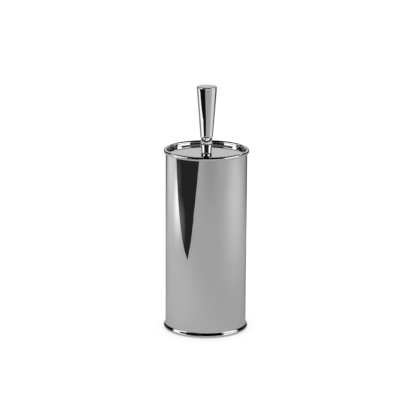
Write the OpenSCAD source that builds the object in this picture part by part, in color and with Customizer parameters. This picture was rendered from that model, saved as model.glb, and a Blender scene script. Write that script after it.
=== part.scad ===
// Free-standing toilet brush holder: a chromed tube with a bead ring at each end, a removable liner,
// a lid disc sunk in the upper ring, and a brush whose flared handle turns in the lid.
// Millimetres, +Z up. The origin is the middle of the footprint, on the floor.

/* [Casing] */
// Outer diameter of the tube
casing_d = 110; // [104:1:118]
// Wall thickness of the tube
casing_wall = 1.2; // [1:0.1:1.6]
// Height of the holder's mouth, to the top of the upper bead
mouth_h = 250.1; // [230:0.1:280]
// Section radius of the bead at the mouth
rim_bead_r = 2.7; // [2.4:0.1:3]
// Section radius of the bead at the foot
foot_bead_r = 2.6; // [2.2:0.1:2.8]
// Height at which the concave flare above the foot bead meets the tube
flare_top = 8.4; // [8:0.1:10]

/* [Base] */
// Thickness of the rubber pad
pad_t = 2; // [1.5:0.1:2.5]
// Thickness of the base plate
base_plate_t = 1.5; // [1:0.1:1.8]

/* [Liner] */
// Wall thickness of the liner
liner_wall = 1.6; // [1.2:0.1:2]
// Thickness of the liner's flange
flange_t = 1.9; // [1.5:0.1:2.2]
// Taper of the liner's radius from mouth to floor
liner_draft = 1.6; // [0.5:0.1:2.5]
// Radius of the two finger notches in the flange
notch_r = 7; // [5:0.5:9]

/* [Lid] */
// Thickness of the lid plate
lid_t = 1.6; // [1.2:0.1:2]
// Depth of the lid's face below the top of the bead
lid_recess = 5.1; // [4:0.1:7]
// Gap between the lid plate and the wall round it
lid_gap = 0.5; // [0.4:0.1:1]
// Height of the skirt under the plate
skirt_h = 7.4; // [5:0.1:9]

/* [Handle] */
// Height of the whole object
total_h = 335.5; // [320:0.5:360]
// Radius of the handle where it meets the lid
grip_foot_r = 6.95; // [6.5:0.05:7.4]
// Radius of the handle below its cap
grip_top_r = 13.6; // [12:0.1:16]
// Rounding of the cap's edge
cap_edge_r = 2; // [1:0.1:2.4]
// Height of the shaped neck below the handle's cone
neck_h = 20.5; // [18:0.5:22]
// Radius of the neck at its ridge
neck_ridge_r = 8.25; // [8:0.05:8.4]

/* [Brush] */
// Radius of the steel rod
rod_r = 4; // [3.5:0.1:4.2]
// Radius of the bristle head
head_r = 37.5; // [34:0.5:40]
// Height of the tufted part of the core
head_h = 62; // [50:1:70]
// Length of the bristles under the core
end_bristle_len = 14; // [10:1:16]
// Free height between the liner's floor and the bristles
floor_gap = 8.4; // [6:0.1:12]

/* [Hidden] */
$fn = 96;

casing_r = casing_d / 2;
bore_r = casing_r - casing_wall;      // inside of the tube
fit = 0.1;                            // gap between pieces that are pressed together
running = 0.05;                       // gap between pieces that turn on each other

// foot: bead, then a fillet that touches the bead and the tube's face
foot_lift = 0.5;                      // the ring stays this far above the floor, the pad carries the load
foot_bead_z = foot_lift + foot_bead_r;
flare_rise = flare_top - foot_bead_z;
flare_r = (pow(flare_rise, 2) - pow(foot_bead_r, 2)) / (2 * foot_bead_r);
flare_touch = foot_bead_r / (foot_bead_r + flare_r);
spigot_t = 1.6;                       // wall of the collars that stand inside the tube
foot_spigot_h = 10;
lip_z = pad_t + base_plate_t;         // underside of the lip that stops the base plate
lip_t = 1.4;
lip_w = 2;
base_plate_r = bore_r - fit - spigot_t - fit;

// mouth: bead, inner wall and ledge
rim_bead_z = mouth_h - rim_bead_r;
rim_bead_c = casing_r - 0.1;          // radius on which the bead's section is centred
rim_wall_r = rim_bead_c - rim_bead_r - 0.1;
casing_top = rim_bead_z - sqrt(pow(rim_bead_r, 2) - pow(bore_r - rim_bead_c, 2));
ledge_w = 5;
ledge_t = 1.6;
lid_top = mouth_h - lid_recess;
lid_low = lid_top - lid_t;
cushion_t = 3;
flange_top = lid_low - cushion_t;
ledge_top = flange_top - flange_t;
ledge_r = rim_wall_r - ledge_w;
rim_spigot_low = ledge_top - ledge_t - 4;

// liner
liner_gap = 0.6;
liner_top_r = ledge_r - liner_gap;
liner_low_r = liner_top_r - liner_draft;
liner_floor = flare_top;              // underside of the liner's floor
liner_round = 7;
flange_r = rim_wall_r - liner_gap;
cup_floor = liner_floor + liner_wall; // upper face of the liner's floor

// lid
lid_r = rim_wall_r - lid_gap;
lid_edge = 0.8;
skirt_r = liner_top_r - liner_wall - 0.8;
skirt_t = 1.2;
hub_r = 11;
hub_h = 10.4;
bush_r = rod_r + 1.6;
bush_flange_r = grip_foot_r - 0.35;
bush_flange_t = 0.5;
hub_low = lid_low - hub_h;

// handle
grip_low = lid_top + bush_flange_t + running;
cap_t = cap_edge_r + 0.5;
grip_top = total_h - cap_t;
grip_wall = 2;
grip_solid_h = 32;                    // height of the solid foot that takes the rod
cap_spigot_h = 4;
cap_spigot_gap = 0.5;
grip_slope = (grip_top_r - grip_foot_r) / (grip_top - grip_low);

// neck: a flare up to a rounded ridge, then a shoulder that narrows again under the cone
neck_top = grip_low + neck_h;
crease_r = grip_foot_r + 0.15;
crease_z = grip_low + 5.5;
ridge_z = grip_low + 12;
ridge_bend = 16;
ridge_centre = neck_ridge_r - ridge_bend;
flare_reach = norm([crease_r - ridge_centre, ridge_z - crease_z]);
ridge_start = acos(ridge_bend / flare_reach) - atan2(ridge_z - crease_z, crease_r - ridge_centre);
ridge_low = ridge_z + ridge_bend * sin(ridge_start);
shoulder_start = 5;                   // angle at which the ridge passes into the shoulder
shoulder_bend = 90;
shoulder_low = ridge_z + ridge_bend * sin(shoulder_start);
bend_gap = shoulder_bend - ridge_bend;
lap = 0.4;                            // how far one slice of the neck runs into the next

// rod, washer and clip
rod_in_grip = 24;
washer_t = 1;
washer_r = 8.5;
washer_top = hub_low - running;
clip_top = washer_top - washer_t;
clip_t = 1;
clip_r = 7.2;
groove_r = rod_r - 0.8;
groove_h = clip_t + 0.1;
clip_mouth = 100;                     // angle of the clip's open side

// head
head_low = cup_floor + floor_gap;     // lowest bristle tips
core_low = head_low + end_bristle_len;
core_top = core_low + head_h;
core_r = 13;
socket_r = 9;
socket_h = 24;
collar_r = 16;
collar_h = 2.4;
insert_r = 6;
insert_h = 16;
insert_low = core_top + 2;
rod_low = insert_low + 1;
dome_r = head_r - 3;                  // radius of the end tufts at the core

module ring(r_in, r_out, z_low, z_high) {
    translate([r_in, z_low]) square([r_out - r_in, z_high - z_low]);
}

module bead(r_centre, z_centre, r_section) {
    translate([r_centre, z_centre]) circle(r = r_section);
}

module base_pad() {
    color("dimgray") cylinder(r = base_plate_r - 0.6, h = pad_t);
}

module base_plate() {
    color("silver") translate([0, 0, pad_t]) cylinder(r = base_plate_r, h = base_plate_t);
}

module foot_flare() {
    difference() {
        polygon([
            [bore_r, foot_bead_z],
            [casing_r + foot_bead_r * (1 - flare_touch), foot_bead_z + flare_rise * flare_touch],
            [casing_r + foot_bead_r * (1 - flare_touch), flare_top],
            [bore_r, flare_top]
        ]);
        translate([casing_r + flare_r, flare_top]) circle(r = flare_r);
    }
}

module base_ring() {
    inner_r = base_plate_r + fit;
    color("gainsboro") rotate_extrude() {
        bead(casing_r, foot_bead_z, foot_bead_r);
        foot_flare();
        ring(inner_r, casing_r, foot_lift, foot_bead_z);
        ring(inner_r, bore_r, foot_bead_z, flare_top);
        ring(inner_r, bore_r - fit, flare_top, flare_top + foot_spigot_h);
        ring(inner_r - lip_w, inner_r, lip_z, lip_z + lip_t);
    }
}

module casing_tube() {
    color("gainsboro") rotate_extrude() ring(bore_r, casing_r, flare_top, casing_top);
}

module top_rim() {
    spigot_r = bore_r - fit;
    color("gainsboro") rotate_extrude() {
        bead(rim_bead_c, rim_bead_z, rim_bead_r);
        ring(rim_wall_r, spigot_r, rim_spigot_low, rim_bead_z);
        ring(ledge_r, rim_wall_r, ledge_top - ledge_t, ledge_top);
    }
}

module liner_outline(grow) {
    // outer face of the cup when grow is 0, inner face when it is minus the wall
    low_r = liner_low_r + grow;
    round_r = liner_round + grow;
    round_z = liner_floor + liner_round;
    steps = 8;
    corner = [
        for (i = [0 : steps])
            let (a = -90 + 90 * i / steps)
            [low_r - round_r + round_r * cos(a), round_z + round_r * sin(a)]
    ];
    top = [[liner_top_r + grow, flange_top], [0, flange_top]];
    polygon(concat([[0, round_z - round_r]], corner, top));
}

module liner_cup() {
    color("whitesmoke") difference() {
        rotate_extrude() {
            difference() {
                liner_outline(0);
                liner_outline(-liner_wall);
                translate([0, flange_top - 0.01]) square([liner_top_r - liner_wall, 1]);
            }
            ring(liner_top_r - 0.1, flange_r, ledge_top, flange_top);
        }
        for (side = [-1, 1])
            translate([side * (flange_r + notch_r / 2), 0, ledge_top - 1])
                cylinder(r = notch_r, h = flange_t + 2);
    }
}

module lid_plate() {
    color("silver") rotate_extrude() {
        ring(bush_r, lid_r - lid_edge, lid_low, lid_top);
        ring(bush_r, lid_r, lid_low, lid_top - lid_edge);
        bead(lid_r - lid_edge, lid_top - lid_edge, lid_edge);
    }
}

module lid_hub() {
    color("silver") rotate_extrude() ring(bush_r, hub_r, hub_low, lid_low);
}

module lid_skirt() {
    color("silver") rotate_extrude() ring(skirt_r - skirt_t, skirt_r, lid_low - skirt_h, lid_low);
}

module lid_cushion() {
    color("dimgray") rotate_extrude() ring(liner_top_r - liner_wall, flange_r, flange_top, lid_low);
}

module stem_bush() {
    color("ivory") rotate_extrude() {
        ring(rod_r + running, bush_r, hub_low, lid_top + bush_flange_t);
        ring(rod_r + running, bush_flange_r, lid_top, lid_top + bush_flange_t);
    }
}

module neck_curve(r_centre, z_centre, bend, z_low, z_high) {
    intersection() {
        bead(r_centre, z_centre, bend);
        ring(rod_r + running, neck_ridge_r + 1, z_low, z_high);
    }
}

module neck_profile() {
    polygon([
        [rod_r + running, grip_low],
        [grip_foot_r, grip_low],
        [crease_r, crease_z],
        [ridge_centre + ridge_bend * cos(ridge_start), ridge_low],
        [rod_r + running, ridge_low]
    ]);
    neck_curve(ridge_centre, ridge_z, ridge_bend, ridge_low - lap, shoulder_low + lap);
    neck_curve(
        ridge_centre - bend_gap * cos(shoulder_start),
        ridge_z - bend_gap * sin(shoulder_start),
        shoulder_bend, shoulder_low, neck_top + lap
    );
}

module grip() {
    cavity_low = grip_low + grip_solid_h;
    cavity_foot = grip_foot_r + grip_slope * grip_solid_h - grip_wall;
    color("gainsboro") rotate_extrude() {
        neck_profile();
        polygon([
            [rod_r + running, neck_top],
            [grip_foot_r + grip_slope * neck_h, neck_top],
            [grip_top_r, grip_top],
            [grip_top_r - grip_wall, grip_top],
            [cavity_foot, cavity_low],
            [0, cavity_low],
            [0, grip_low + rod_in_grip],
            [rod_r + running, grip_low + rod_in_grip]
        ]);
    }
}

module grip_cap() {
    color("gainsboro") rotate_extrude() {
        ring(0, grip_top_r - cap_edge_r, grip_top, total_h);
        ring(0, grip_top_r, grip_top, total_h - cap_edge_r);
        intersection() {
            bead(grip_top_r - cap_edge_r, total_h - cap_edge_r, cap_edge_r);
            ring(0, grip_top_r, grip_top, total_h);
        }
        ring(0, grip_top_r - grip_wall - cap_spigot_gap, grip_top - cap_spigot_h, grip_top);
    }
}

module rod() {
    color("silver") difference() {
        translate([0, 0, rod_low]) cylinder(r = rod_r, h = grip_low + rod_in_grip - rod_low);
        rotate_extrude() ring(groove_r, rod_r + 1, clip_top - groove_h, clip_top);
    }
}

module thrust_washer() {
    color("silver") rotate_extrude() ring(rod_r + running, washer_r, clip_top, washer_top);
}

module retaining_clip() {
    reach = clip_r * 2;
    half = clip_mouth / 2;
    color("slategray") difference() {
        rotate_extrude() ring(groove_r, clip_r, clip_top - clip_t, clip_top);
        translate([0, 0, clip_top - 2 * clip_t]) linear_extrude(3 * clip_t) polygon([
            [0, 0],
            [reach * cos(half), -reach * sin(half)],
            [reach * cos(half), reach * sin(half)]
        ]);
    }
}

module head_socket() {
    color("whitesmoke") difference() {
        union() {
            translate([0, 0, core_top]) cylinder(r = collar_r, h = collar_h);
            translate([0, 0, core_top]) cylinder(r = socket_r, h = socket_h);
        }
        translate([0, 0, insert_low]) cylinder(r = insert_r, h = insert_h);
        translate([0, 0, rod_low]) cylinder(r = rod_r + fit, h = socket_h);
    }
}

module thread_insert() {
    color("goldenrod") translate([0, 0, insert_low]) difference() {
        cylinder(r = insert_r, h = insert_h);
        translate([0, 0, rod_low - insert_low]) cylinder(r = rod_r + running, h = insert_h);
    }
}

module head_core() {
    color("whitesmoke") translate([0, 0, core_low]) cylinder(r = core_r, h = head_h);
}

module side_bristles() {
    color("white") rotate_extrude() ring(core_r, head_r, core_low, core_top);
}

module end_bristles() {
    color("white") rotate_extrude() polygon([
        [0, core_low],
        [dome_r, core_low],
        [dome_r - end_bristle_len / 2, head_low + end_bristle_len / 6],
        [dome_r - end_bristle_len, head_low],
        [0, head_low]
    ]);
}

base_pad();
base_plate();
base_ring();
casing_tube();
top_rim();
liner_cup();
lid_plate();
lid_hub();
lid_skirt();
lid_cushion();
stem_bush();
grip();
grip_cap();
rod();
thrust_washer();
retaining_clip();
head_socket();
thread_insert();
head_core();
side_bristles();
end_bristles();
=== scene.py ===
import math
import random

import bmesh
import bpy
from mathutils import Matrix, Vector


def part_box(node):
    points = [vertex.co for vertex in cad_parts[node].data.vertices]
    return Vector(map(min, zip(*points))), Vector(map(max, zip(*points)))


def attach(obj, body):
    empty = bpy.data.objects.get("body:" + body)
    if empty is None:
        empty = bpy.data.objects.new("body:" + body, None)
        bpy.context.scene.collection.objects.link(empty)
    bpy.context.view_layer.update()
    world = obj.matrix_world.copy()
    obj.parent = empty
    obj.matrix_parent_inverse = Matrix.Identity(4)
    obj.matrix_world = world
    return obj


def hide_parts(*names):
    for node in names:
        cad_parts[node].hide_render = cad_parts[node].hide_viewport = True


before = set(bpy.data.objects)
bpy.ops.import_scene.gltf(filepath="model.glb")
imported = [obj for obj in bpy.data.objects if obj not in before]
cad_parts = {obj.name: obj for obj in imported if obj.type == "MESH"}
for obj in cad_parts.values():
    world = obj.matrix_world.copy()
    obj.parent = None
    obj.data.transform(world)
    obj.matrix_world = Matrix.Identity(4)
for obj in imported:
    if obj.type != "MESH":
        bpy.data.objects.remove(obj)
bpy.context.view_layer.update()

MM = 0.001
RINGS = 256          # steps round a turned piece


# ---------- places, read from the frame ----------
def top(node):
    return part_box(node)[1].z


def low(node):
    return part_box(node)[0].z


def radius(node):
    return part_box(node)[1].x


# ---------- mesh helpers ----------
def arc(centre_r, centre_z, section_r, start, stop, steps=12):
    """Points (r, z) on a circle, from the start angle to the stop angle in degrees."""
    points = []
    for i in range(steps + 1):
        a = math.radians(start + (stop - start) * i / steps)
        points.append((centre_r + section_r * math.cos(a), centre_z + section_r * math.sin(a)))
    return points


def rounded(corners, steps=5):
    """A closed outline whose (r, z, fillet) corners are each rounded to their own radius."""
    points = []
    for i, (r, z, fillet) in enumerate(corners):
        if fillet == 0:
            points.append((r, z))
            continue
        here = Vector((r, z))
        to_last = (Vector(corners[i - 1][:2]) - here).normalized()
        to_next = (Vector(corners[(i + 1) % len(corners)][:2]) - here).normalized()
        half = to_last.angle(to_next) / 2
        centre = here + (to_last + to_next).normalized() * fillet / math.sin(half)
        start = here + to_last * fillet / math.tan(half) - centre
        stop = here + to_next * fillet / math.tan(half) - centre
        first = math.atan2(start.y, start.x)
        turn = (math.atan2(stop.y, stop.x) - first + math.pi) % (2 * math.pi) - math.pi
        for k in range(steps + 1):
            a = first + turn * k / steps
            points.append((centre.x + fillet * math.cos(a), centre.y + fillet * math.sin(a)))
    return points


def lathe(name, outline, material, body, node, sharp_deg=28, rings=RINGS, limit=None):
    """A closed outline of (r, z) points turned round the Z axis; limit(angle) may cut the radius back."""
    bm = bmesh.new()
    columns = []
    for r, z in outline:
        if r < 1e-7:
            columns.append([bm.verts.new((0, 0, z))] * rings)
            continue
        column = []
        for k in range(rings):
            a = 2 * math.pi * k / rings
            reach = min(r, limit(a)) if limit else r
            column.append(bm.verts.new((reach * math.cos(a), reach * math.sin(a), z)))
        columns.append(column)
    for i, here in enumerate(columns):
        there = columns[(i + 1) % len(columns)]
        if here[0] is here[1] and there[0] is there[1]:
            continue
        for k in range(rings):
            n = (k + 1) % rings
            corners = [here[k], here[n], there[n], there[k]]
            corners = [v for j, v in enumerate(corners) if v not in corners[:j]]
            bm.faces.new(corners)
    bmesh.ops.recalc_face_normals(bm, faces=bm.faces)
    for edge in bm.edges:
        edge.smooth = edge.calc_face_angle(0) < math.radians(sharp_deg)
    for face in bm.faces:
        face.smooth = True
    mesh = bpy.data.meshes.new(name)
    bm.to_mesh(mesh)
    bm.free()
    return add_piece(name, mesh, material, body, node)


def add_piece(name, mesh, material, body, node):
    piece = bpy.data.objects.new(name, mesh)
    bpy.context.scene.collection.objects.link(piece)
    mesh.materials.append(material)
    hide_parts(node)
    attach(piece, body)
    return piece


# ---------- material helpers ----------
def new_material(name):
    mat = bpy.data.materials.new(name)
    mat.use_nodes = True
    return mat, mat.node_tree, mat.node_tree.nodes["Principled BSDF"]


def add(tree, kind, settings=None, **inputs):
    """A shader node. An input is given by its name, with _ for a space, as a value or a socket."""
    node = tree.nodes.new("ShaderNode" + kind)
    for key, value in (settings or {}).items():
        setattr(node, key, value)
    for key, value in inputs.items():
        socket = node.inputs[key.replace("_", " ")]
        if isinstance(value, bpy.types.NodeSocket):
            tree.links.new(value, socket)
        else:
            socket.default_value = value
    return node


def noise(tree, size, detail=4.0, stretch=(1, 1, 1)):
    """Noise whose features are about size metres wide, longer where stretch is above 1."""
    where = add(tree, "TexCoord").outputs["Object"]
    scale = [1 / s for s in stretch]
    placed = add(tree, "Mapping", Vector=where, Scale=scale).outputs["Vector"]
    return add(tree, "TexNoise", Vector=placed, Scale=1 / size, Detail=detail).outputs["Fac"]


def spots(tree, spacing, spot_r):
    """1 inside round spots about spacing apart, falling to 0 at spot_r from their middles."""
    where = add(tree, "TexCoord").outputs["Object"]
    cells = add(tree, "TexVoronoi", Vector=where, Scale=1 / spacing)
    return spread(tree, cells.outputs["Distance"], spot_r / spacing, 0.6 * spot_r / spacing, 0, 1)


def spread(tree, value, from_low, from_high, to_low, to_high):
    return add(tree, "MapRange", Value=value, From_Min=from_low, From_Max=from_high,
               To_Min=to_low, To_Max=to_high).outputs["Result"]


def math_node(tree, operation, one, other):
    node = add(tree, "Math", {"operation": operation})
    for socket, value in zip(node.inputs, (one, other)):
        if isinstance(value, bpy.types.NodeSocket):
            tree.links.new(value, socket)
        else:
            socket.default_value = value
    return node.outputs["Value"]


def ramp(tree, factor, *stops):
    """Colour that passes through the (position, colour) stops."""
    node = add(tree, "ValToRGB", Fac=factor)
    elements = node.color_ramp.elements
    while len(elements) < len(stops):
        elements.new(0.5)
    for element, (position, colour) in zip(elements, stops):
        element.position = position
        element.color = (*colour, 1)
    return node.outputs["Color"]


def bump(tree, shader, *layers):
    """Stacks (height, depth in metres) layers of bump on the shader."""
    normal = None
    for height, depth in layers:
        inputs = {"Height": height, "Distance": depth, "Strength": 1.0}
        if normal:
            inputs["Normal"] = normal
        normal = add(tree, "Bump", **inputs).outputs["Normal"]
    tree.links.new(normal, shader.inputs["Normal"])


def finish_surface(tree, shader, colour, roughness, metallic=0.0):
    tree.links.new(colour, shader.inputs["Base Color"])
    tree.links.new(roughness, shader.inputs["Roughness"])
    shader.inputs["Metallic"].default_value = metallic


# ---------- materials ----------
def chrome():
    """Mirror plating: faint haze, hairline scratches, dried water spots and a trace of orange peel."""
    mat, tree, shader = new_material("chrome")
    haze = noise(tree, 0.035, 3)
    hairs = noise(tree, 0.0009, 2, (1, 1, 60))
    rings = noise(tree, 0.0011, 2, (50, 50, 1))
    marks = spots(tree, 0.021, 0.0016)
    colour = ramp(tree, haze, (0.3, (0.765, 0.767, 0.772)), (0.7, (0.79, 0.791, 0.795)))
    smear = spread(tree, haze, 0.35, 0.7, 0.012, 0.034)
    scratched = spread(tree, hairs, 0.68, 0.78, 0, 0.05)
    circled = spread(tree, rings, 0.7, 0.8, 0, 0.05)
    dried = math_node(tree, "MULTIPLY", marks, 0.05)
    roughness = math_node(tree, "ADD", math_node(tree, "ADD", smear, scratched),
                          math_node(tree, "ADD", circled, dried))
    finish_surface(tree, shader, colour, roughness, 1.0)
    bump(tree, shader, (noise(tree, 0.016, 2), 2.2e-5), (hairs, 4e-7), (marks, 1e-6))
    return mat


def turned_metal(name, dark, light, rough_low, rough_high, lay=(40, 40, 1)):
    """Bare metal with fine tool marks that run along lay, and a mottled, slightly oxidised face."""
    mat, tree, shader = new_material(name)
    mottle = noise(tree, 0.006, 5)
    marks = noise(tree, 0.0006, 3, lay)
    colour = ramp(tree, mottle, (0.3, dark), (0.72, light))
    worn = spread(tree, mottle, 0.3, 0.7, rough_low, rough_high)
    cut = spread(tree, marks, 0.35, 0.65, -0.05, 0.07)
    finish_surface(tree, shader, colour, math_node(tree, "ADD", worn, cut), 1.0)
    bump(tree, shader, (marks, 3e-6), (mottle, 2e-6))
    return mat


def moulded(name, dark, light, stain, rough=0.36):
    """Moulded plastic: a fine spark-eroded grain, scuffs, and staining that gathers in patches."""
    mat, tree, shader = new_material(name)
    cloud = noise(tree, 0.03, 5)
    scuff = noise(tree, 0.0012, 3, (1, 1, 14))
    skin = noise(tree, 0.0004, 2)
    colour = ramp(tree, cloud, (0.28, stain), (0.42, dark), (0.7, light))
    dull = spread(tree, cloud, 0.3, 0.7, rough + 0.1, rough - 0.05)
    rubbed = spread(tree, scuff, 0.6, 0.75, 0, 0.18)
    finish_surface(tree, shader, colour, math_node(tree, "ADD", dull, rubbed))
    shader.inputs["Subsurface Weight"].default_value = 0.08
    shader.inputs["Subsurface Radius"].default_value = (0.004, 0.004, 0.0035)
    bump(tree, shader, (skin, 1.5e-5), (scuff, 1e-5))
    return mat


def rubber():
    """Black rubber with a bloom of dust in its grain."""
    mat, tree, shader = new_material("rubber")
    bloom = noise(tree, 0.012, 6)
    grain = noise(tree, 0.0007, 3)
    colour = ramp(tree, bloom, (0.35, (0.022, 0.022, 0.023)), (0.75, (0.07, 0.068, 0.064)))
    finish_surface(tree, shader, colour, spread(tree, bloom, 0.3, 0.7, 0.62, 0.88))
    bump(tree, shader, (grain, 8e-5), (bloom, 2e-4))
    return mat


def foam():
    """Closed-cell foam: small open cells on the cut face, each darkened towards its middle by painted
    shade.
    """
    mat, tree, shader = new_material("foam")
    where = add(tree, "TexCoord").outputs["Object"]
    cells = add(tree, "TexVoronoi", Vector=where, Scale=1600.0).outputs["Distance"]
    shade = noise(tree, 0.008, 4)
    # painted shade: the colour darkens towards each cell's middle, down in the pit that the bump sinks
    colour = ramp(tree, cells, (0.1, (0.018, 0.018, 0.019)), (0.8, (0.075, 0.075, 0.078)))
    finish_surface(tree, shader, colour, spread(tree, shade, 0.3, 0.7, 0.78, 0.95))
    bump(tree, shader, (cells, 2.2e-4), (shade, 1e-4))
    return mat


def filament():
    """White nylon filament, each one a little different; painted shade darkens and yellows it towards the
    core.
    """
    mat, tree, shader = new_material("filament")
    each = add(tree, "NewGeometry").outputs["Random Per Island"]
    where = add(tree, "TexCoord").outputs["Object"]
    level = add(tree, "VectorMath", {"operation": "MULTIPLY"})
    tree.links.new(where, level.inputs[0])
    level.inputs[1].default_value = (1, 1, 0)
    from_axis = add(tree, "VectorMath", {"operation": "LENGTH"}, Vector=level.outputs["Vector"])
    # painted shade: darker and yellower towards the core, where the crowded filaments shadow each other
    along = spread(tree, from_axis.outputs["Value"], 0.013, 0.036, 0, 0.6)
    shade = math_node(tree, "ADD", along, math_node(tree, "MULTIPLY", each, 0.4))
    root = (0.64, 0.61, 0.53)
    middle = (0.87, 0.865, 0.83)
    tip = (0.95, 0.95, 0.94)
    colour = ramp(tree, shade, (0.0, root), (0.5, middle), (1.0, tip))
    finish_surface(tree, shader, colour, spread(tree, each, 0, 1, 0.28, 0.5))
    shader.inputs["Subsurface Weight"].default_value = 0.15
    shader.inputs["Subsurface Radius"].default_value = (0.0006, 0.0006, 0.0006)
    bump(tree, shader, (noise(tree, 0.0005, 2), 1e-5))
    return mat


chrome_mat = chrome()
steel_mat = turned_metal("steel", (0.42, 0.42, 0.41), (0.58, 0.58, 0.57), 0.2, 0.34)
rod_mat = turned_metal("drawn_steel", (0.5, 0.5, 0.49), (0.64, 0.64, 0.63), 0.14, 0.26, (1, 1, 50))
spring_mat = turned_metal("spring_steel", (0.13, 0.13, 0.14), (0.27, 0.26, 0.25), 0.3, 0.45)
brass_mat = turned_metal("brass", (0.52, 0.35, 0.13), (0.74, 0.54, 0.25), 0.22, 0.38)
liner_mat = moulded("liner_plastic", (0.74, 0.745, 0.735), (0.83, 0.835, 0.83), (0.66, 0.65, 0.6), 0.4)
nylon_mat = moulded("nylon", (0.72, 0.69, 0.6), (0.82, 0.79, 0.71), (0.6, 0.56, 0.46), 0.34)
core_mat = moulded("core_plastic", (0.76, 0.76, 0.74), (0.86, 0.86, 0.85), (0.66, 0.64, 0.57), 0.36)
rubber_mat = rubber()
foam_mat = foam()
bristle_mat = filament()

# ---------- sizes shared by neighbouring pieces ----------
casing_r = radius("casing_tube")
tube_wall = 1.2 * MM
bore_r = casing_r - tube_wall
spigot_r = bore_r - 0.1 * MM
bead_r = 2.7 * MM
bead_centre = radius("top_rim") - bead_r
bead_z = top("top_rim") - bead_r
rim_wall_r = bead_centre - bead_r - 0.1 * MM
flange_t = 1.9 * MM
rod_r = radius("rod")
bore_of_rod = rod_r + 0.05 * MM


# ---------- holder ----------
def make_rim():
    ledge_top = top("liner_cup") - flange_t
    ledge_r = rim_wall_r - 5 * MM
    ledge_low = ledge_top - 1.6 * MM
    spigot_low = low("top_rim")
    outline = rounded([
        (rim_wall_r, spigot_low, 0),
        (rim_wall_r, ledge_low, 0),
        (ledge_r, ledge_low, 0.4 * MM),
        (ledge_r, ledge_top, 0.4 * MM),
        (rim_wall_r, ledge_top, 0.8 * MM),
        (rim_wall_r, bead_z, 0),
    ])
    outline += arc(bead_centre, bead_z, bead_r, 178, -60, 40)
    outline += [(spigot_r, bead_z - 0.95 * bead_r), (spigot_r, spigot_low)]
    lathe("rim", outline, chrome_mat, "holder", "top_rim")


def make_tube():
    ends = (low("casing_tube"), top("casing_tube"))
    outline = [(casing_r, ends[0]), (casing_r, ends[1]), (bore_r, ends[1]), (bore_r, ends[0])]
    lathe("tube", outline, chrome_mat, "holder", "casing_tube")


def make_foot():
    section_r = 2.6 * MM
    floor_z = low("base_ring")
    centre_z = floor_z + section_r
    flare_z = low("casing_tube")
    rise = flare_z - centre_z
    flare_r = (rise ** 2 - section_r ** 2) / (2 * section_r)
    meet = math.degrees(math.atan2(rise, section_r + flare_r))
    inner_r = spigot_r - 1.6 * MM
    lip_z = top("base_plate")
    lip = 1.4 * MM
    outline = [(inner_r, floor_z)]
    outline += arc(casing_r, centre_z, section_r, -90, meet, 30)
    outline += arc(casing_r + flare_r, flare_z, flare_r, 180 + meet, 180, 16)
    outline += [
        (spigot_r, flare_z),
        (spigot_r, top("base_ring")),
        (inner_r, top("base_ring")),
        (inner_r, lip_z + lip),
        (inner_r - 2 * MM, lip_z + lip),
        (inner_r - 2 * MM, lip_z),
        (inner_r, lip_z),
    ]
    lathe("foot", outline, chrome_mat, "holder", "base_ring")


def make_base():
    plate_r = radius("base_plate")
    plate = rounded([
        (0, low("base_plate"), 0),
        (plate_r, low("base_plate"), 0.3 * MM),
        (plate_r, top("base_plate"), 0.3 * MM),
        (0, top("base_plate"), 0),
    ])
    lathe("bottom_plate", plate, steel_mat, "holder", "base_plate")
    pad_r = radius("base_pad")
    pad_top = top("base_pad")
    groove = 0.5 * MM
    pad = [(0, low("base_pad"))]
    for i in range(8):
        start = (8 + 5 * i) * MM
        pad += [
            (start, 0),
            (start + 0.4 * MM, groove),
            (start + 1.4 * MM, groove),
            (start + 1.8 * MM, 0),
        ]
    pad += rounded([
        (46 * MM, 0, 0),
        (pad_r, 0, 0.4 * MM),
        (pad_r, pad_top, 0.2 * MM),
        (0, pad_top, 0),
    ])
    lathe("pad", pad, rubber_mat, "holder", "base_pad", rings=128)


def make_liner():
    """The cup with its ribbed floor and its flange, cut back at the two finger notches."""
    wall = 1.6 * MM
    flange_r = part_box("liner_cup")[1].y
    flange_top = top("liner_cup")
    flange_low = flange_top - flange_t
    cup_r = rim_wall_r - 5.6 * MM
    foot_r = cup_r - 1.6 * MM
    floor_z = low("liner_cup")
    notch_r = 7 * MM
    notch_centre = flange_r + notch_r / 2

    def edge_of_flange(a):
        across = abs(math.sin(a)) * notch_centre
        if across > notch_r:
            return flange_r
        along = abs(math.cos(a)) * notch_centre
        return min(flange_r, along - math.sqrt(notch_r ** 2 - across ** 2))

    outline = rounded([
        (0, floor_z, 0),
        (foot_r, floor_z, 7 * MM),
        (cup_r, flange_low, 0.8 * MM),
        (flange_r, flange_low, 0.7 * MM),
        (flange_r, flange_top, 0.7 * MM),
        (cup_r - wall, flange_top, 1.2 * MM),
        (foot_r - wall, floor_z + wall, 5.4 * MM),
    ], 8)
    middle = floor_z + wall
    rib = 0.6 * MM
    for i in range(3):
        start = (30 - 9 * i) * MM
        outline += [
            (start, middle),
            (start - rib, middle + rib),
            (start - 1.4 * MM, middle + rib),
            (start - 2 * MM, middle),
        ]
    outline += [(0, middle)]
    lathe("liner", outline, liner_mat, "holder", "liner_cup", rings=512, limit=edge_of_flange)


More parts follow.
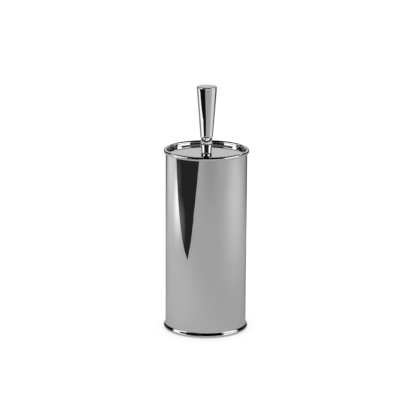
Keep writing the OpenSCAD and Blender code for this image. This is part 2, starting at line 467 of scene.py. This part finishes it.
# ---------- lid ----------
def make_lid():
    plate_r = radius("lid_plate")
    under = low("lid_plate")
    face = top("lid_plate")
    hub_r = radius("lid_hub")
    hole = 5.65 * MM
    plate = rounded([
        (hole, under, 0),
        (hole, face, 0.15 * MM),
        (plate_r, face, 0.8 * MM),
        (plate_r, under, 0.1 * MM),
    ], 8)
    lathe("lid_disc", plate, chrome_mat, "lid", "lid_plate")
    hub = rounded([
        (hole, low("lid_hub"), 0.3 * MM),
        (hub_r, low("lid_hub"), 0.8 * MM),
        (hub_r, under, 0),
        (hole, under, 0),
    ])
    lathe("hub", hub, steel_mat, "lid", "lid_hub", rings=128)
    skirt_r = radius("lid_skirt")
    thick = 1.2 * MM
    skirt = rounded([
        (skirt_r - thick, low("lid_skirt"), 0.5 * MM),
        (skirt_r, low("lid_skirt"), 0.5 * MM),
        (skirt_r, under, 0),
        (skirt_r - thick, under, 0),
    ])
    lathe("skirt", skirt, chrome_mat, "lid", "lid_skirt")
    inner_r = rim_wall_r - 7.2 * MM
    cushion = rounded([
        (inner_r, low("lid_cushion"), 0.5 * MM),
        (radius("lid_cushion"), low("lid_cushion"), 0.7 * MM),
        (radius("lid_cushion"), under, 0.2 * MM),
        (inner_r, under, 0.2 * MM),
    ])
    lathe("cushion", cushion, foam_mat, "lid", "lid_cushion")


def make_bush():
    face = top("lid_plate")
    sleeve_r = 5.6 * MM
    outline = rounded([
        (bore_of_rod, low("stem_bush"), 0.25 * MM),
        (sleeve_r, low("stem_bush"), 0.25 * MM),
        (sleeve_r, face, 0),
        (radius("stem_bush"), face, 0),
        (radius("stem_bush"), top("stem_bush"), 0.2 * MM),
        (bore_of_rod, top("stem_bush"), 0.15 * MM),
    ])
    lathe("bush", outline, nylon_mat, "lid", "stem_bush", rings=96)


# ---------- brush ----------
def neck_outline(foot_r, foot_z, neck_top):
    """From the lid up: a flare, a rounded ridge and a shoulder that narrows again under the cone."""
    ridge_r = 8.25 * MM
    ridge_z = foot_z + 12 * MM
    ridge_bend = 16 * MM
    shoulder_bend = 90 * MM
    handover = 5                     # angle at which the ridge passes into the shoulder
    crease = (foot_r + 0.15 * MM, foot_z + 5.5 * MM)
    centre = ridge_r - ridge_bend
    beside = crease[0] - centre
    below = ridge_z - crease[1]
    start = math.degrees(math.acos(ridge_bend / math.hypot(beside, below)) - math.atan2(below, beside))
    gap = shoulder_bend - ridge_bend
    far_r = centre - gap * math.cos(math.radians(handover))
    far_z = ridge_z - gap * math.sin(math.radians(handover))
    stop = math.degrees(math.asin((neck_top - far_z) / shoulder_bend))
    ridge = arc(centre, ridge_z, ridge_bend, start, handover, 24)
    shoulder = arc(far_r, far_z, shoulder_bend, handover, stop, 16)
    return [(foot_r, foot_z), crease] + ridge + shoulder[1:]


def make_handle():
    foot_r = 6.95 * MM
    foot_z = low("grip")
    cone_top = top("grip")
    top_r = radius("grip")
    wall = 2 * MM
    slope = (top_r - foot_r) / (cone_top - foot_z)
    neck_top = foot_z + 20.5 * MM
    cone_low_r = foot_r + slope * (neck_top - foot_z)
    cavity_z = foot_z + 32 * MM
    cavity_r = foot_r + slope * 32 * MM - wall
    socket_z = foot_z + 24 * MM
    edge = 0.3 * MM
    outline = [(bore_of_rod, foot_z)] + neck_outline(foot_r, foot_z, neck_top)
    outline += [
        (cone_low_r - edge, neck_top),
        (cone_low_r, neck_top + edge),
        (top_r, cone_top),
        (top_r - wall, cone_top),
        (cavity_r, cavity_z),
        (0, cavity_z),
        (0, socket_z),
        (bore_of_rod, socket_z),
    ]
    lathe("handle", outline, chrome_mat, "brush", "grip")
    cap_edge = 2 * MM
    plug_r = top_r - wall - 0.5 * MM
    cap = [(0, low("grip_cap")), (plug_r, low("grip_cap")), (plug_r, cone_top), (top_r, cone_top)]
    cap += arc(top_r - cap_edge, top("grip_cap") - cap_edge, cap_edge, 0, 90, 16)
    cap += [(0, top("grip_cap"))]
    lathe("cap", cap, chrome_mat, "brush", "grip_cap")


def make_rod():
    groove_r = rod_r - 0.8 * MM
    groove_top = top("retaining_clip")
    chamfer = 0.5 * MM
    outline = [
        (0, low("rod")),
        (rod_r - chamfer, low("rod")),
        (rod_r, low("rod") + chamfer),
        (rod_r, groove_top - 1.1 * MM),
        (groove_r, groove_top - 1.1 * MM),
        (groove_r, groove_top),
        (rod_r, groove_top),
        (rod_r, top("rod") - chamfer),
        (rod_r - chamfer, top("rod")),
        (0, top("rod")),
    ]
    lathe("stem_rod", outline, rod_mat, "brush", "rod", rings=96)
    washer = rounded([
        (bore_of_rod, low("thrust_washer"), 0.1 * MM),
        (radius("thrust_washer"), low("thrust_washer"), 0.3 * MM),
        (radius("thrust_washer"), top("thrust_washer"), 0.3 * MM),
        (bore_of_rod, top("thrust_washer"), 0.1 * MM),
    ])
    lathe("washer", washer, steel_mat, "brush", "thrust_washer", rings=96)


def make_head():
    socket_low = low("head_socket")
    socket_top = top("head_socket")
    collar_r = radius("head_socket")
    socket_r = 9 * MM
    collar_top = socket_low + 2.4 * MM
    bore = rod_r + 0.1 * MM
    insert_r = radius("thread_insert")
    outline = rounded([
        (0, socket_low, 0),
        (collar_r, socket_low, 0.4 * MM),
        (collar_r, collar_top, 0.9 * MM),
        (socket_r, collar_top, 2.2 * MM),
        (socket_r, socket_top, 1.4 * MM),
        (bore, socket_top, 0.3 * MM),
        (bore, top("thread_insert"), 0),
        (insert_r, top("thread_insert"), 0),
        (insert_r, low("thread_insert"), 0),
        (0, low("thread_insert"), 0),
    ])
    lathe("socket", outline, core_mat, "brush", "head_socket", rings=128)
    core_r = radius("head_core")
    core = rounded([
        (0, low("head_core"), 0),
        (core_r, low("head_core"), 1 * MM),
        (core_r, top("head_core"), 1 * MM),
        (0, top("head_core"), 0),
    ])
    lathe("core", core, core_mat, "brush", "head_core", rings=96)


# ---------- bristles ----------
TUFT_COUNT = 64          # filaments in a tuft
FILAMENT_R = 0.2 * MM
FILAMENT_BOW = 0.45 * MM


def grow_filament(verts, faces, root, tip, bow, thick):
    """A three-sided filament from root to tip, its middle pushed aside by bow."""
    segments = 3
    along = (tip - root).normalized()
    side = along.orthogonal().normalized()
    other = along.cross(side)
    first = len(verts)
    for i in range(segments + 1):
        t = i / segments
        middle = root.lerp(tip, t) + bow * (4 * t * (1 - t))
        for k in range(3):
            a = 2 * math.pi * k / 3
            verts.append(middle + (side * math.cos(a) + other * math.sin(a)) * thick)
    for i in range(segments):
        for k in range(3):
            here = first + 3 * i
            n = (k + 1) % 3
            faces.append((here + k, here + n, here + 3 + n, here + 3 + k))
    faces.append((first + 2, first + 1, first))
    last = first + 3 * segments
    faces.append((last, last + 1, last + 2))


def grow_tuft(verts, faces, rng, root, tip, root_r, tip_r, keep_inside):
    """A bundle of filaments that leaves one hole in the core and spreads to tip_r at its far end."""
    along = (tip - root).normalized()
    side = along.orthogonal().normalized()
    other = along.cross(side)
    for _ in range(TUFT_COUNT):
        a = rng.uniform(0, 2 * math.pi)
        reach = math.sqrt(rng.random())
        off = side * math.cos(a) + other * math.sin(a)
        start = root + off * root_r * reach
        stray = 1 + 0.25 * rng.random() ** 3
        end = keep_inside(tip + off * tip_r * reach * stray - along * rng.uniform(0, 1.3 * MM))
        bow = Vector((rng.gauss(0, 1), rng.gauss(0, 1), rng.gauss(0, 1))) * FILAMENT_BOW
        grow_filament(verts, faces, start, end, bow, FILAMENT_R)


def bristle_piece(name, verts, faces, node):
    mesh = bpy.data.meshes.new(name)
    mesh.from_pydata(verts, [], faces)
    mesh.polygons.foreach_set("use_smooth", [True] * len(faces))
    add_piece(name, mesh, bristle_mat, "brush", node)


def make_side_bristles():
    """Rings of tufts round the core, each ring turned half a step from the last."""
    head_r = radius("side_bristles")
    lowest = low("side_bristles")
    highest = top("side_bristles")
    root_r = radius("head_core") - 0.6 * MM
    rows = 12
    per_row = 16
    margin = 2.4 * MM
    rng = random.Random(7)

    def keep_inside(point):
        shrink = min(1, head_r / Vector((point.x, point.y)).length)
        z = min(max(point.z, lowest), highest)
        return Vector((point.x * shrink, point.y * shrink, z))

    halves = {"lower": range(0, rows // 2), "upper": range(rows // 2, rows)}
    for part, chosen in halves.items():
        verts = []
        faces = []
        for row in chosen:
            z = lowest + margin + (highest - lowest - 2 * margin) * row / (rows - 1)
            for k in range(per_row):
                a = 2 * math.pi * (k + 0.5 * (row % 2)) / per_row
                out = Vector((math.cos(a), math.sin(a), 0))
                root = out * root_r + Vector((0, 0, z))
                tip = root + out * (head_r - root_r)
                grow_tuft(verts, faces, rng, root, tip, 1.3 * MM, 8.2 * MM, keep_inside)
        bristle_piece("bristles_" + part, verts, faces, "side_bristles")


def make_end_bristles():
    """Tufts in the core's lower face, fanned out into a dome."""
    core_r = radius("head_core") - 2 * MM
    core_low = low("head_core")
    tip_low = low("end_bristles")
    dome_r = radius("end_bristles")
    length = core_low - tip_low
    rng = random.Random(11)
    verts = []
    faces = []
    flat_r = dome_r - length

    def keep_inside(point):
        out = Vector((point.x, point.y)).length
        drop = 0 if out < flat_r else (out - flat_r) ** 2 / length * 0.8
        return Vector((point.x, point.y, max(point.z, tip_low + drop)))

    for ring, tufts in enumerate((1, 7, 14, 20)):
        share = ring / 3
        for k in range(tufts):
            a = 2 * math.pi * (k + 0.5 * (ring % 2)) / tufts
            out = Vector((math.cos(a), math.sin(a), 0))
            root = out * core_r * share + Vector((0, 0, core_low + 0.5 * MM))
            reach = (dome_r - 4 * MM) * share
            tip = keep_inside(Vector((out.x * reach, out.y * reach, tip_low)))
            grow_tuft(verts, faces, rng, root, tip, 1.2 * MM, 5.5 * MM, keep_inside)
    bristle_piece("bristles_end", verts, faces, "end_bristles")


make_rim()
make_tube()
make_foot()
make_base()
make_liner()
make_lid()
make_bush()
make_handle()
make_rod()
make_head()
make_side_bristles()
make_end_bristles()

# the two small parts whose CAD shape is kept
for kept, kept_mat in (("retaining_clip", spring_mat), ("thread_insert", brass_mat)):
    kept_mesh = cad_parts[kept].data
    kept_mesh.materials.clear()
    kept_mesh.materials.append(kept_mat)


# ---------- stage ----------
def emission(name):
    mat = bpy.data.materials.new(name)
    mat.use_nodes = True
    nodes = mat.node_tree.nodes
    nodes.clear()
    out = nodes.new("ShaderNodeOutputMaterial")
    shader = nodes.new("ShaderNodeEmission")
    shader.inputs["Color"].default_value = (1, 1, 1, 1)
    mat.node_tree.links.new(shader.outputs["Emission"], out.inputs["Surface"])
    return mat, shader


def glow(name, level):
    mat, shader = emission(name)
    shader.inputs["Strength"].default_value = level
    return mat


def card(name, corners, material, seen_by_camera=False, faces=None):
    """A flat or bent sheet of the stage. Without faces, its corners are one polygon."""
    mesh = bpy.data.meshes.new(name)
    mesh.from_pydata(corners, [], faces or [tuple(range(len(corners)))])
    obj = bpy.data.objects.new(name, mesh)
    bpy.context.scene.collection.objects.link(obj)
    mesh.materials.append(material)
    obj.visible_camera = seen_by_camera
    obj.visible_shadow = False
    if not seen_by_camera:
        obj.visible_diffuse = False
    return obj


def flat(name, corners, z, material, seen_by_camera=False):
    return card(name, [(x, y, z) for x, y in corners], material, seen_by_camera)


def around(distance, degrees, z):
    """A place that far from the axis, so many degrees to the right of straight ahead."""
    a = math.radians(degrees)
    return (distance * math.sin(a), -distance * math.cos(a), z)


def strip_faces(steps, near=0, far=1, stride=2):
    """Quads between two lines of points: near and far are their first indices, stride apart along them."""
    return [
        (near + stride * i, near + stride * (i + 1), far + stride * (i + 1), far + stride * i)
        for i in range(steps)
    ]


def curved_wall(name, az_from, az_to, low_from, low_to, high, level):
    """A glowing strip of wall round the object, from one azimuth to another (0 faces the camera side).

    Its lower edge runs from elevation low_from to low_to, its upper edge stays at high, all in degrees.
    """
    steps = 24
    corners = []
    for i in range(steps + 1):
        t = i / steps
        for elevation in (low_from + (low_to - low_from) * t, high):
            z = EYE_Z + WALL_DISTANCE * math.tan(math.radians(elevation))
            corners.append(around(WALL_DISTANCE, az_from + (az_to - az_from) * t, max(z, 0)))
    return card(name, corners, glow(name + "_glow", level), faces=strip_faces(steps))


def pooled_glow(name, base, pools, height=0.0):
    """Glow with a base level and soft pools (x, y, reach, gain) on a level card at that height."""
    mat, shader = emission(name)
    tree = mat.node_tree
    where = add(tree, "NewGeometry").outputs["Position"]
    level = None
    for x, y, reach, gain in pools:
        gap = add(tree, "VectorMath", {"operation": "DISTANCE"})
        gap.inputs[1].default_value = (x, y, height)
        tree.links.new(where, gap.inputs[0])
        fade = add(tree, "MapRange", {"interpolation_type": "SMOOTHERSTEP"}, Value=gap.outputs["Value"],
                   From_Min=reach, From_Max=0.0, To_Min=0.0, To_Max=gain).outputs["Result"]
        level = math_node(tree, "ADD", fade, level if level else base)
    tree.links.new(math_node(tree, "MAXIMUM", level, DARKEST), shader.inputs["Strength"])
    return mat


SPAN = 6                 # how far the stage reaches from the object
EYE_Z = 0.25             # height from which the walls' elevations are measured
WALL_DISTANCE = 3.0
CEILING_Z = 3.0
DARKEST = 0.02           # no pooled card goes below this level
square = [(-SPAN, -SPAN), (SPAN, -SPAN), (SPAN, SPAN), (-SPAN, SPAN)]


def floor_paint():
    """Matt pale paint that also glows, so that the floor comes out even and white."""
    mat, tree, shader = new_material("floor_paint")
    clouds = noise(tree, 0.4, 3)
    colour = ramp(tree, clouds, (0.3, (0.45, 0.45, 0.45)), (0.7, (0.47, 0.47, 0.47)))
    finish_surface(tree, shader, colour, spread(tree, noise(tree, 0.05, 3), 0.3, 0.7, 0.6, 0.75))
    shader.inputs["Emission Color"].default_value = (1, 1, 1, 1)
    shader.inputs["Emission Strength"].default_value = 0.57
    return mat


# the camera sees this floor; the chrome mirrors the one under it
floor = flat("floor", square, 0, floor_paint(), True)
floor.visible_glossy = False

# a white cylinder that only the camera sees, at the floor's far edge
surround_steps = 48
surround_corners = [
    around(SPAN, 360 * i / surround_steps, z)
    for i in range(surround_steps + 1)
    for z in (0, SPAN)
]
surround = card("surround", surround_corners, glow("surround_glow", 1.0), True, strip_faces(surround_steps))
surround.visible_glossy = False
surround.visible_diffuse = False

# what the chrome mirrors below the horizon: a glowing grey sheet for the floor, with soft pools of painted
# light and painted shade, the object's painted contact shadow among them; each given as (x, y, reach, gain)
floor_light_and_shadow_pools = [
    (-1.0, 0.45, 1.0, 0.33),
    (-0.8, -0.1, 0.4, 0.62),
    (-0.25, -0.08, 0.45, 0.1),
    (0.85, -0.02, 0.8, 0.22),
    (0.25, -1.25, 0.8, -0.1),
    # painted shadow: the object's own contact shadow, round its foot and spreading behind it
    (0.0, 0.06, 0.16, -0.15),
    (0.02, 0.28, 0.34, -0.24),
    (0.0, 0.75, 0.5, -0.25),
    (0.0, 1.35, 1.3, -0.6),
]
flat("floor_in_reflections", square, -1 * MM, pooled_glow("floor_glow", 0.45, floor_light_and_shadow_pools))
ahead = [(-0.38, -SPAN), (SPAN, -SPAN), (SPAN, -1.5), (-0.38, -1.5)]
flat("far_floor", ahead, -0.5 * MM, glow("far_floor_glow", 0.95))

# a dark patch ahead and to the left, mirrored as the tapering wedge on the tube
corner_pools = [
    (-0.62, -0.17, 0.27, 0.12),
    (-0.95, -0.07, 0.35, 0.06),
]
corner = [
    (-0.335, -0.275),
    (-0.36, -0.42),
    (-0.4, -0.6),
    (-0.41, -0.75),
    (-0.4, -0.95),
    (-0.38, -1.15),
    (-0.38, -SPAN),
    (-SPAN, -SPAN),
    (-SPAN, 2.0),
]
flat("dark_corner", corner, 0.5 * MM, pooled_glow("corner_glow", 0.012, corner_pools))

# small level cards round the handle, for its cone to mirror; seen from the camera, the neck, the rim
# and the foot mirror them too, and the tube doesn't
CARD_Z = 0.24
CARD_REACH = (0.086, 0.157, 0.306, 0.4)


def handle_card(name, level, first, last):
    """A level card between two sides, each given by its angle at every distance in CARD_REACH."""
    steps = 8
    corners = []
    quads = []
    for reach, start, stop in zip(CARD_REACH, first, last):
        corners += [around(reach, start + (stop - start) * i / steps, CARD_Z) for i in range(steps + 1)]
    for band in range(len(CARD_REACH) - 1):
        near = band * (steps + 1)
        quads += strip_faces(steps, near, near + steps + 1, 1)
    card(name, corners, glow(name + "_glow", level), faces=quads)


straight_back = (180, 180, 180, 180)
right_front = (62, 62, 62, 62)
right_back = (112, 112, 112, 112)
shade_right = (-10, -9, -19, -25)
shade_left = (-51, -55, -86, -107)
light_left = (-95, -97, -110, -119)
handle_card("handle_back_left", 0.28, [-a for a in straight_back], light_left)
handle_card("handle_light", 1.2, light_left, shade_left)
handle_card("handle_shade", 0.006, shade_left, shade_right)
handle_card("handle_right", 0.8, right_front, right_back)
handle_card("handle_back_right", 0.08, right_back, straight_back)

ceiling_glow = pooled_glow("ceiling_glow", 0.0, [(0.0, 1.7, 2.4, 0.75)], CEILING_Z)
ceiling = flat("ceiling", square, CEILING_Z, ceiling_glow)
# the overhead light is for the level faces; it would wash out the dark line round the rim's bead
level_faces = bpy.data.collections.new("level_faces")
for name in ("lid_disc", "cap", "hub", "skirt", "bottom_plate"):
    level_faces.objects.link(bpy.data.objects[name])
ceiling.light_linking.receiver_collection = level_faces

# walls: a dark gap is left at the horizon, which the handle's shoulder mirrors as a V
curved_wall("front_sill", -75, 75, -5, -5, -0.8, 0.85)
curved_wall("front_wall", -20, 30, 2.3, 2.3, 7.5, 0.8)
curved_wall("front_right", 30, 75, 2.3, 2.3, 7.5, 1.05)
curved_wall("front_left", -40, -75, 2.3, 2.3, 7.5, 1.0)
curved_wall("front_shade", -70, 70, 7.5, 7.5, 14, 0.13)
curved_wall("softbox_left", -56, -102, 14, 8, 38, 1.7)
curved_wall("softbox_right", 52, 98, 14, 8, 38, 1.7)
curved_wall("softbox_left_end", -102, -140, 31, 31, 38, 1.7)
curved_wall("softbox_right_end", 98, 140, 31, 31, 38, 1.7)
curved_wall("backdrop", 150, 210, 9, 9, 30, 0.61)

world = bpy.data.worlds.new("studio")
bpy.context.scene.world = world
world.use_nodes = True
world.node_tree.nodes["Background"].inputs["Color"].default_value = (0.015, 0.015, 0.015, 1)

sun_data = bpy.data.lights.new("sky_light", "SUN")
sun_data.energy = 3.5
sun_data.angle = math.radians(120)
sun = bpy.data.objects.new("sky_light", sun_data)
sun.visible_glossy = False
bpy.context.scene.collection.objects.link(sun)

# ---------- camera ----------
CAMERA_DISTANCE = 2.475
CAMERA_HEIGHT = 0.7905
PITCH = 0.2423
YAW = -0.0034
ROLL = 0.0053
right = Vector((math.cos(YAW), -math.sin(YAW), 0))
up = Vector((math.sin(YAW) * math.sin(PITCH), math.cos(YAW) * math.sin(PITCH), math.cos(PITCH)))
cam_right = right * math.cos(ROLL) + up * math.sin(ROLL)
cam_up = up * math.cos(ROLL) - right * math.sin(ROLL)
cam_back = cam_right.cross(cam_up)
camera_data = bpy.data.cameras.new("camera")
camera_data.sensor_width = 36
camera_data.lens = 169.33
camera_data.clip_end = 50
camera = bpy.data.objects.new("camera", camera_data)
camera.matrix_world = Matrix((
    (cam_right.x, cam_up.x, cam_back.x, 0),
    (cam_right.y, cam_up.y, cam_back.y, -CAMERA_DISTANCE),
    (cam_right.z, cam_up.z, cam_back.z, CAMERA_HEIGHT),
    (0, 0, 0, 1)))
bpy.context.scene.collection.objects.link(camera)
bpy.context.scene.camera = camera
bpy.context.scene.view_settings.view_transform = "Standard"
